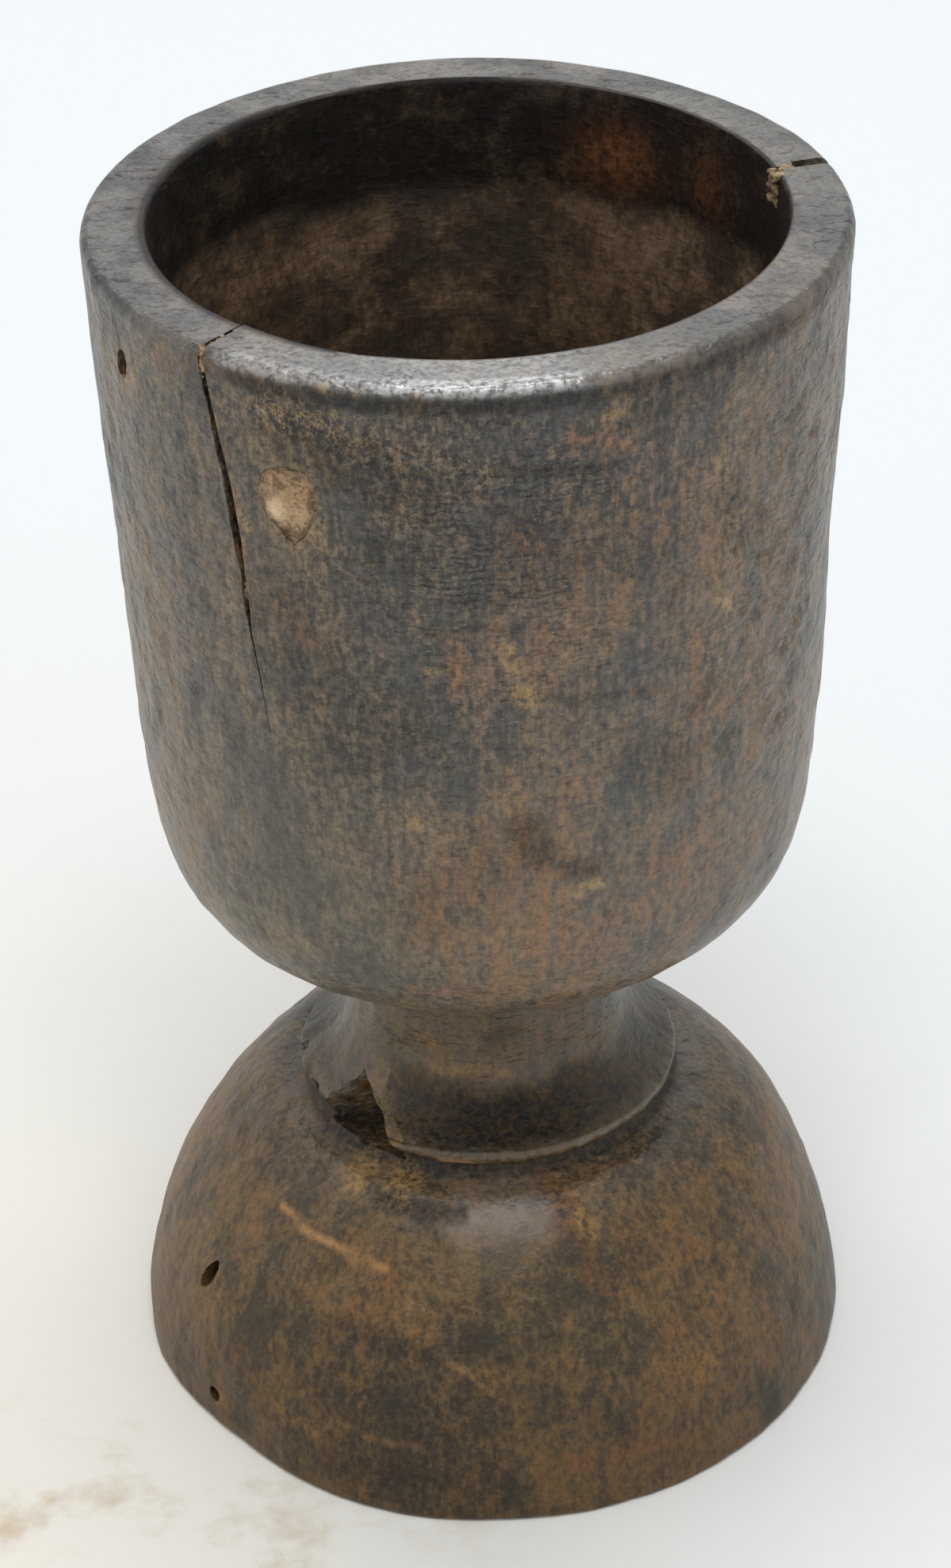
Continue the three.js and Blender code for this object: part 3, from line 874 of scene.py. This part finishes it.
def makeWood():
    w = woodLook
    look, tree, shader = newLook("oldDarkWood")
    level, layer, speckle, mask, plus, times, minus, most = brushes(tree)

    def blend(*parts):
        made = times(*parts[0])
        for value, share in parts[1:]:
            made = plus(made, times(value, share))
        return made

    def awayFrom(value):
        return addNode(tree, "ShaderNodeMath", {0: minus(value, 0.5)}, operation="ABSOLUTE").outputs[0]

    zone = speckle(w["zone"], (1, 1, 0.7), 2, 0.11)
    patch = speckle(w["patch"], (1, 1, 0.6), 5, 0.23, 0.6)
    streak = speckle(w["streak"], (1, 1, 0.12), 5, 0.37, 0.65)
    grit = speckle(w["grit"], (1, 1, 0.6), 6, 0.53, 0.7)
    fibre = speckle(w["fibre"], (1, 1, 0.08), 3, 0.71, 0.6)
    crumb = speckle(w["crumb"], (1, 1, 0.9), 6, 0.91, 0.75)
    weave = speckle(w["weave"], (1, 1, 0.8), 4, 0.47, 0.6)
    cloud = speckle(w["cloud"], (1, 1, 1.2), 5, 0.67, 0.6)
    grimeAndShade, tan, rust, crust, rim, cool = (mask(n) for n in ("grimeAndShade", "tan", "rust", "crust", "rim", "cool"))
    hollow, band, rub, combed, sheen = (mask(n) for n in ("hollow", "hollowBand", "rub", "combed", "sheen"))
    up = addNode(tree, "ShaderNodeSeparateXYZ", {0: placeNode(tree)}).outputs["Z"]
    low = level(up, 0.047, 0.04)
    # the patina, cold dark to umber, with warm brown where hands have rubbed it
    tone = blend((patch, 0.36), (zone, 0.2), (streak, 0.2), (grit, 0.24))
    tone = minus(tone, times(cool, 0.11))
    cold = layer(level(up, 0.14, 0.105, 0, 0.22), w["cold"], w["umber"])
    cold = layer(low, cold, w["footCold"])
    colour = layer(level(tone, 0.41, 0.57), cold, w["umber"])
    warm = times(level(blend((zone, 0.5), (patch, 0.5)), 0.4, 0.6), plus(times(rub, 0.7), 0.15))
    warm = times(warm, minus(1.0, times(cool, 0.6)))
    warm = times(warm, level(blend((streak, 0.6), (grit, 0.4)), 0.38, 0.6, 0.2, 0.9))
    colour = layer(warm, colour, w["brown"])
    bare = times(level(blend((streak, 0.45), (grit, 0.35), (zone, 0.2)), 0.5, 0.6), times(rub, 0.5))
    bare = most(bare, times(rust, level(blend((grit, 0.6), (streak, 0.4)), 0.4, 0.56, 0.05, 0.75)))
    bare = times(bare, minus(1.0, times(low, 0.35)))
    colour = layer(bare, colour, w["rust"])
    grain = blend((grit, 0.45), (fibre, 0.15), (streak, 0.1), (crumb, 0.3))
    coarse = times(most(crust, cool), 0.9)
    shade = times(level(grain, 0.37, 0.6, 0.45, 1.15), minus(1.0, coarse))
    shade = plus(shade, times(level(grain, 0.44, 0.55, 0.22, 1.5), coarse))
    dim = addNode(tree, "ShaderNodeCombineColor", {0: shade, 1: shade, 2: shade}).outputs[0]
    colour = layer(1.0, colour, dim, "MULTIPLY")
    # painted shade in the creases and pits, more so in the upper wall and in the crust
    crease = speckle(w["crease"], (1, 1, 2.2), 2, 0.61, 0.5)
    fold = awayFrom(crease)
    crack = speckle(w["crack"], (1, 1, 0.9), 3, 0.91, 0.6)
    lines = times(level(fold, 0.05, 0), level(patch, 0.44, 0.56))
    pits = level(crack, 0.5, 0.36)
    high = level(up, 0.09, 0.16, 0.1, 0.42)
    creaseShade = most(times(lines, high), times(pits, plus(times(crust, 0.9), times(cool, 0.7))))
    colour = layer(times(creaseShade, minus(1.0, most(rim, hollow))), colour, w["sootAndShade"])
    # the rim and the lip have lost some of their colour; the lip's pale edge is partly a painted highlight,
    # the rim's top gets painted shade at the sides and back and a painted highlight on its rounded front edge
    rimShade = mask("rimShade")
    rubbed = level(blend((patch, 0.5), (grit, 0.5)), 0.42, 0.58, 0.3, 0.75)
    colour = layer(times(rim, rubbed), colour, w["ash"])
    colour = layer(times(rimShade, level(patch, 0.38, 0.6, 0.97, 0.68)), colour, w["sootAndShade"])
    # painted highlight: near-white along the rim's rounded front edge, a little on the lip
    colour = layer(times(times(sheen, rim), level(grit, 0.4, 0.58, 0.1, 0.65)), colour, w["bare"])
    # gold crumbs of old dirt: a web below the rim, and flecks elsewhere
    web = most(level(awayFrom(weave), 0.05, 0.015), level(crumb, 0.54, 0.62))
    dirt = times(web, times(crust, level(grit, 0.4, 0.6, 0.3, 0.8)))
    dirt = most(dirt, times(tan, level(blend((crumb, 0.6), (grit, 0.4)), 0.42, 0.55, 0.08, 0.85)))
    dirt = most(dirt, times(level(crumb, 0.6, 0.67), level(patch, 0.5, 0.6, 0.1, 0.5)))
    colour = layer(dirt, colour, layer(level(grit, 0.45, 0.6), w["gold"], w["straw"]))
    # painted sheen: pale lavender-grey on the foot's shoulder and the lip's right side
    colour = layer(times(times(sheen, 0.6), level(up, 0.06, 0.04)), colour, w["paintedSheen"])
    colour = layer(times(mask("scar"), level(grit, 0.36, 0.56, 0.5, 0.9)), colour, w["scar"])
    # dirt and painted shade: dark marks, the groove under the lip, the neck under the bowl and the cut walls
    colour = layer(times(grimeAndShade, level(grit, 0.42, 0.6, 1, 0.65)), colour, w["sootAndShade"])
    # the neck and the foot are darker and more olive, the foot's lower part more so
    neck = times(level(up, 0.074, 0.066), level(up, 0.042, 0.047))
    colour = layer(neck, colour, w["neckTint"], "MULTIPLY")
    colour = layer(level(up, 0.047, 0.036, 0, 0.95), colour, w["footTint"], "MULTIPLY")
    colour = layer(level(up, 0.03, 0.004, 0, 0.5), colour, w["neckTint"], "MULTIPLY")
    # the hollow: mottled brown below, a dark band above
    mottle = level(blend((cloud, 0.6), (zone, 0.25), (crumb, 0.15)), 0.41, 0.57)
    inner = layer(mottle, w["hollowShade"], w["hollowBrown"])
    pale = times(level(blend((cloud, 0.65), (crumb, 0.35)), 0.53, 0.62), 0.5)
    inner = layer(pale, inner, w["hollowPale"])
    dark = times(band, level(blend((cloud, 0.7), (crumb, 0.3)), 0.5, 0.62, 0.97, 0.8))
    inner = layer(dark, inner, w["hollowDark"])
    inner = layer(times(mask("innerRust"), level(crumb, 0.4, 0.58, 0.35, 0.8)), inner, w["innerRust"])
    inner = layer(1.0, inner, dim, "MULTIPLY")
    tree.links.new(layer(hollow, colour, inner), shader.inputs["Base Color"])
    gloss = plus(times(grit, 0.3), w["gloss"] - 0.15)
    gloss = plus(gloss, times(most(dirt, most(grimeAndShade, crust)), 0.2))
    gloss = plus(gloss, plus(times(hollow, 0.2), times(low, 0.08)))
    polish = plus(times(times(sheen, rim), 0.08), plus(times(rim, 0.06), times(sheen, 0.03)))
    tree.links.new(minus(gloss, polish), shader.inputs["Roughness"])
    shader.inputs["IOR"].default_value = 1.6
    dull = most(times(most(band, grimeAndShade), 0.3), times(low, 0.18))
    dull = most(dull, times(rimShade, level(patch, 0.42, 0.56, 0.17, 0.02)))
    tree.links.new(minus(0.5, dull), shader.inputs["Specular IOR Level"])
    # relief in millimetres: dents, creases, grit and crust, and combed lines round the front
    dent = speckle(w["dent"], (1, 1, 1.1), 1, 0.29)
    sand = speckle(w["sand"], (1, 1, 0.7), 1, 0.83)
    inputs = {"Vector": placeNode(tree), "Scale": 300, "Distortion": 9, "Detail": 3, "Detail Scale": 1.2}
    comb = addNode(tree, "ShaderNodeTexWave", inputs, bands_direction="Z").outputs["Fac"]
    relief = blend((dent, 1), (crease, 0.4), (fold, 0.7), (sand, 0.14), (streak, 0.06))
    relief = times(relief, level(up, 0.085, 0.14, 0.5, 1.5))
    pitted = plus(plus(times(crust, 1.8), times(cool, 0.45)), times(tan, 0.25))
    relief = plus(relief, times(crack, pitted))
    relief = plus(relief, times(times(comb, times(combed, level(patch, 0.36, 0.52))), 0.42))
    flat = most(times(rim, 0.45), most(times(hollow, 0.78), times(sheen, 0.7)))
    inputs = {"Strength": minus(1.0, flat), "Distance": 0.001, "Height": relief}
    tree.links.new(addNode(tree, "ShaderNodeBump", inputs).outputs[0], shader.inputs["Normal"])
    return look


# Filler: crumbs packed into the cracks, and the cake in the wall's loss
fillerLook = {
    "pale": "937b58",
    "shade": "5c4730",
    "white": "b8a27d",
    "tan": "ab8c69",
    "tanShade": "725b45",
    "spot": "e2c9a4",
    "edge": "5d4c36",
    "grain": 0.5,
    "cloud": 1.7,
}


def makeFiller(name, body, shade, light):
    f = fillerLook
    look, tree, shader = newLook(name)
    level, layer, speckle, mask, plus, times, _, _ = brushes(tree)
    grain = speckle(f["grain"], (1, 1, 1), 4, 0.17, 0.6)
    cloud = speckle(f["cloud"], (1, 1, 1), 4, 0.43)
    mixed = plus(times(grain, 0.45), times(cloud, 0.55))
    colour = layer(level(mixed, 0.43, 0.55), f[shade], f[body])
    colour = layer(level(cloud, 0.5, 0.64, 0, 0.5), colour, f[light])
    colour = layer(times(mask("spot"), level(grain, 0.36, 0.56, 0.7, 1)), colour, f["spot"])
    colour = layer(times(mask("edge"), level(mixed, 0.44, 0.56, 1, 0.35)), colour, f["edge"])
    tree.links.new(colour, shader.inputs["Base Color"])
    tree.links.new(level(grain, 0.3, 0.7, 0.95, 0.7), shader.inputs["Roughness"])
    inputs = {"Strength": 0.8, "Distance": 0.0004, "Height": grain}
    tree.links.new(addNode(tree, "ShaderNodeBump", inputs).outputs[0], shader.inputs["Normal"])
    return look


# Edges that turn less than this, in degrees, look smooth
smoothUnder = {"wood": 42, "filler": 50}

# A heap of crumbs: middle as azimuth, radius and height, reach inwards, along and up, and how many
crumbHeaps = {
    "rimCrackCrumbs": {
        "replaces": "front_crack_filler_top", "around": -131.15, "radius": 47.6, "up": 178.9,
        "reach": (2.3, 0.34, 1.9), "count": 70, "crumb": (0.28, 0.5), "voxel": 0.13, "seed": 5,
    },
    "lowCrackCrumb": {
        "replaces": "front_crack_filler_low", "around": -126.55, "radius": 47.4, "up": 147.4,
        "reach": (1.1, 0.3, 1.1), "count": 26, "crumb": (0.25, 0.42), "voxel": 0.12, "seed": 6,
    },
    "backRimFiller": {
        "replaces": "back_crack_filler", "around": 12.6, "radius": 42.9, "up": 178.6,
        "reach": (1.6, 1.2, 2), "count": 54, "crumb": (0.5, 0.9), "voxel": 0.18, "seed": 7,
    },
}


def heapCrumbs(name, heap):
    outward, along, up = frameAt(heap["around"])
    dice = np.random.default_rng(heap["seed"])
    middle = outward * heap["radius"] + up * heap["up"]
    crumbs = []
    for _ in range(heap["count"]):
        spot = dice.uniform(-1, 1, 3) * np.array(heap["reach"])
        place = middle + outward * spot[0] + along * spot[1] + up * spot[2]
        deselectAll()
        size = dice.uniform(*heap["crumb"]) * mm
        bpy.ops.mesh.primitive_ico_sphere_add(subdivisions=2, radius=size, location=place * mm)
        crumb = bpy.context.object
        bpy.ops.object.transform_apply(location=True, rotation=False, scale=False)
        points = readPoints(crumb)
        core = points.mean(0)
        squash = dice.uniform(0.65, 1.25, 3)
        swell = 1 + 0.35 * lumpy(points / mm, 0.5, heap["seed"], 1)
        writePoints(crumb, core + (points - core) * squash * swell[:, None])
        crumbs.append(crumb)
    pick(crumbs[0])
    for crumb in crumbs[1:]:
        crumb.select_set(True)
    bpy.ops.object.join()
    piece = named(name)
    applyModifier(piece, "REMESH", mode="VOXEL", voxel_size=heap["voxel"] * mm)
    applyModifier(piece, "SMOOTH", factor=0.4, iterations=1)
    points = readPoints(piece)
    points[:, 2] = np.minimum(points[:, 2], (rimHeight - 0.02) * mm)
    writePoints(piece, points)
    bpy.ops.object.shade_smooth_by_angle(angle=math.radians(smoothUnder["filler"]))
    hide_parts(heap["replaces"])
    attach(piece, "root")
    return piece


# The cake of filler in the wall's loss: it sits a little below the wall, and its skin is broken
wallCake = {"gap": 0.03, "sunk": 0.1, "rough": 0.22, "rings": 9}


def bakeCake():
    outward, along, up = frameAt(wallLoss["around"])
    outline = []
    for x, y in wallLoss["outline"]:
        inset = 1 - wallCake["gap"] / math.hypot(x, y)
        outline.append((x * inset, wallLoss["up"] + y * inset))
    fine = []
    for (x0, y0), (x1, y1) in zip(outline, outline[1:] + outline[:1]):
        fine += [(x0 + (x1 - x0) * k / 3, y0 + (y1 - y0) * k / 3) for k in range(3)]
    wall = wallRadiusAt(wallLoss["up"])
    floor, face = wall - wallLoss["deep"] + 0.1, wall - wallCake["sunk"]
    piece = radialBlade("wallLossFiller", fine, wallLoss["around"], floor, face)
    setMode("EDIT")
    bpy.ops.mesh.select_mode(type="FACE")
    mesh = bmesh.from_edit_mesh(piece.data)
    for skin in mesh.faces:
        outer = skin.calc_center_median().dot(outward) > (floor + face) / 2 * mm
        skin.select_set(len(skin.verts) > 4 and outer)
    bmesh.update_edit_mesh(piece.data)
    for ring in range(wallCake["rings"], 0, -1):
        bpy.ops.mesh.inset(thickness=0, use_boundary=False)
        bpy.ops.transform.resize(value=(ring / (ring + 1),) * 3)
    bpy.ops.mesh.poke()
    bpy.ops.mesh.select_mode(type="VERT")
    setMode("OBJECT")
    points = readPoints(piece)
    depth = points @ np.array(outward)
    skin = depth > (face - 0.05) * mm
    x, y = points @ np.array(along) / mm, points[:, 2] / mm - wallLoss["up"]

    def hump(right, over, wide, tall):
        return np.exp(-(((x - right) / wide) ** 2) - ((y - over) / tall) ** 2)

    bulge = np.sqrt(np.maximum(wallRadiusAt(wallLoss["up"] + y) ** 2 - x**2, 0)) - wallCake["sunk"] - face
    rough = wallCake["rough"] * (lumpy(points / mm, 2.2, 51, 2) + 0.5 * lumpy(points / mm, 0.8, 52, 2))
    lift = 0.35 * hump(-2.4, -0.8, 1.2, 2.2) - 0.3 * smoothStep(2, -3, y - x * 0.3)
    move = np.where(skin, bulge + rough + lift, 0)
    points += np.array(outward)[None, :] * (move * mm)[:, None]
    writePoints(piece, points)
    pick(piece)
    bpy.ops.object.shade_smooth_by_angle(angle=math.radians(smoothUnder["filler"]))
    storeMask(piece, "spot", (hump(-1.9, -1, 1.3, 2.2) + 0.3 * hump(1.4, -0.6, 1.2, 2)) * skin)
    ends = np.array(outline) - [0, wallLoss["up"]]
    reach = np.full(len(x), 1e9)
    for (x0, y0), (x1, y1) in zip(ends, np.roll(ends, -1, axis=0)):
        runX, runY = x1 - x0, y1 - y0
        share = np.clip(((x - x0) * runX + (y - y0) * runY) / (runX**2 + runY**2), 0, 1)
        reach = np.minimum(reach, np.hypot(x - x0 - share * runX, y - y0 - share * runY))
    storeMask(piece, "edge", smoothStep(1.3, 0.1, reach + 0.5 * lumpy(points / mm, 1.1, 53, 2)))
    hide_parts("wall_loss_filler")
    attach(piece, "root")
    return piece


# The table: a pale sheet that runs back and rises behind, with faint beige stains
table = {"half": 1.6, "rise": 1.5, "pale": "e8ebed", "cream": "e9e4da", "stain": "c4b08e"}


def makeTable():
    deselectAll()
    bpy.ops.mesh.primitive_plane_add(size=2 * table["half"])
    sheet = named("paperSheet")
    setMode("EDIT")
    mesh = bmesh.from_edit_mesh(sheet.data)
    for part in (*mesh.verts, *mesh.edges, *mesh.faces):
        part.select_set(False)
    for edge in mesh.edges:
        edge.select_set(all(v.co.y > 0 for v in edge.verts))
    bmesh.update_edit_mesh(sheet.data)
    extrude((0, 0, table["rise"]))
    setMode("OBJECT")
    sheet.location.z = -0.0001
    bpy.ops.object.transform_apply(location=True)
    bpy.ops.object.shade_smooth()
    look, tree, shader = newLook("palePaper")
    level, layer, speckle, _, plus, times, _, _ = brushes(tree)
    where = placeNode(tree)
    apart = addNode(tree, "ShaderNodeSeparateXYZ", {0: where}).outputs
    near, front = level(apart["Y"], 0.3, -0.1), level(apart["Y"], 0.1, -0.12)
    left = level(apart["X"], 0.1, -0.08)
    warm = times(near, plus(times(left, 0.85), 0.15))
    colour = layer(warm, table["pale"], table["cream"])
    blots = level(speckle(26, (1, 1, 1), 6, 0.31, 0.65), 0.48, 0.66)
    stain = times(blots, level(speckle(110, (1, 1, 1), 2, 0.77), 0.42, 0.6))
    stain = times(stain, times(front, plus(times(left, 0.9), 0.1)))
    away = addNode(tree, "ShaderNodeVectorMath", {0: where}, operation="LENGTH").outputs["Value"]
    colour = layer(times(stain, level(away, 0.45, 0.22)), colour, table["stain"])
    tree.links.new(colour, shader.inputs["Base Color"])
    shader.inputs["Roughness"].default_value = 0.85
    shader.inputs["Specular IOR Level"].default_value = 0.2
    sheet.data.materials.append(look)
    sheet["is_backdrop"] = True


# Light: soft boxes over and behind the cup, in an evenly lit white room.
# Each box: place, size, aim height and power.
studio = {
    "room": 0.63,
    "roomSeen": 0.94,
    "boxes": {
        "softBoxOver": ((0, 0.3, 2), (0.9, 0.35), 0.1, 14),
        "softBoxFront": ((0, -0.75, 1.9), (0.7, 0.4), 0.08, 10),
        "softBoxLeft": ((-1.7, -0.1, 0.9), (0.8, 0.6), 0.1, 2.1),
        "softBoxBehind": ((0, 1.5, 1.05), (1.5, 0.3), 0.18, 3.5),
    },
}


def lightStudio():
    world = bpy.data.worlds.new("whiteRoom")
    bpy.context.scene.world = world
    world.use_nodes = True
    tree = world.node_tree
    backdrop = tree.nodes["Background"]
    rays = addNode(tree, "ShaderNodeLightPath").outputs
    most = partial(mathNode, "MAXIMUM", tree)
    seen = most(most(rays["Is Camera Ray"], rays["Is Glossy Ray"]), rays["Is Transmission Ray"])
    inputs = {"Value": seen, "To Min": studio["room"], "To Max": studio["roomSeen"]}
    strength = addNode(tree, "ShaderNodeMapRange", inputs).outputs["Result"]
    tree.links.new(strength, backdrop.inputs["Strength"])
    backdrop.inputs["Color"].default_value = (0.97, 0.99, 1, 1)
    for name, (place, size, aim, power) in studio["boxes"].items():
        deselectAll()
        bpy.ops.object.light_add(type="AREA", location=place)
        light = named(name)
        light.data.shape = "RECTANGLE"
        light.data.size, light.data.size_y = size
        light.data.energy = power
        away = Vector(place) - Vector((0, 0, aim))
        light.rotation_euler = away.to_track_quat("Z", "Y").to_euler()
        light.visible_camera = False


bpy.context.scene.view_settings.view_transform = "Standard"
placeCamera()
body = turnCup()
print("turned the cup on the lathe")
shapeByHand(body)
print("wore and marked it")
cutLosses(body)
pick(body)
bpy.ops.object.shade_smooth_by_angle(angle=math.radians(smoothUnder["wood"]))
markSurface(body)
print("cut cracks, holes and losses")
wearLook(body, makeWood())
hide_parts("cup_body")
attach(body, "root")

paleFiller = makeFiller("paleFiller", "pale", "shade", "white")
for name, heap in crumbHeaps.items():
    wearLook(heapCrumbs(name, heap), paleFiller)
wearLook(bakeCake(), makeFiller("tanFiller", "tan", "tanShade", "pale"))
print("packed the filler")
makeTable()
lightStudio()

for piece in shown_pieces():
    print(piece.name, sum(len(p.vertices) - 2 for p in piece.data.polygons), "triangles")
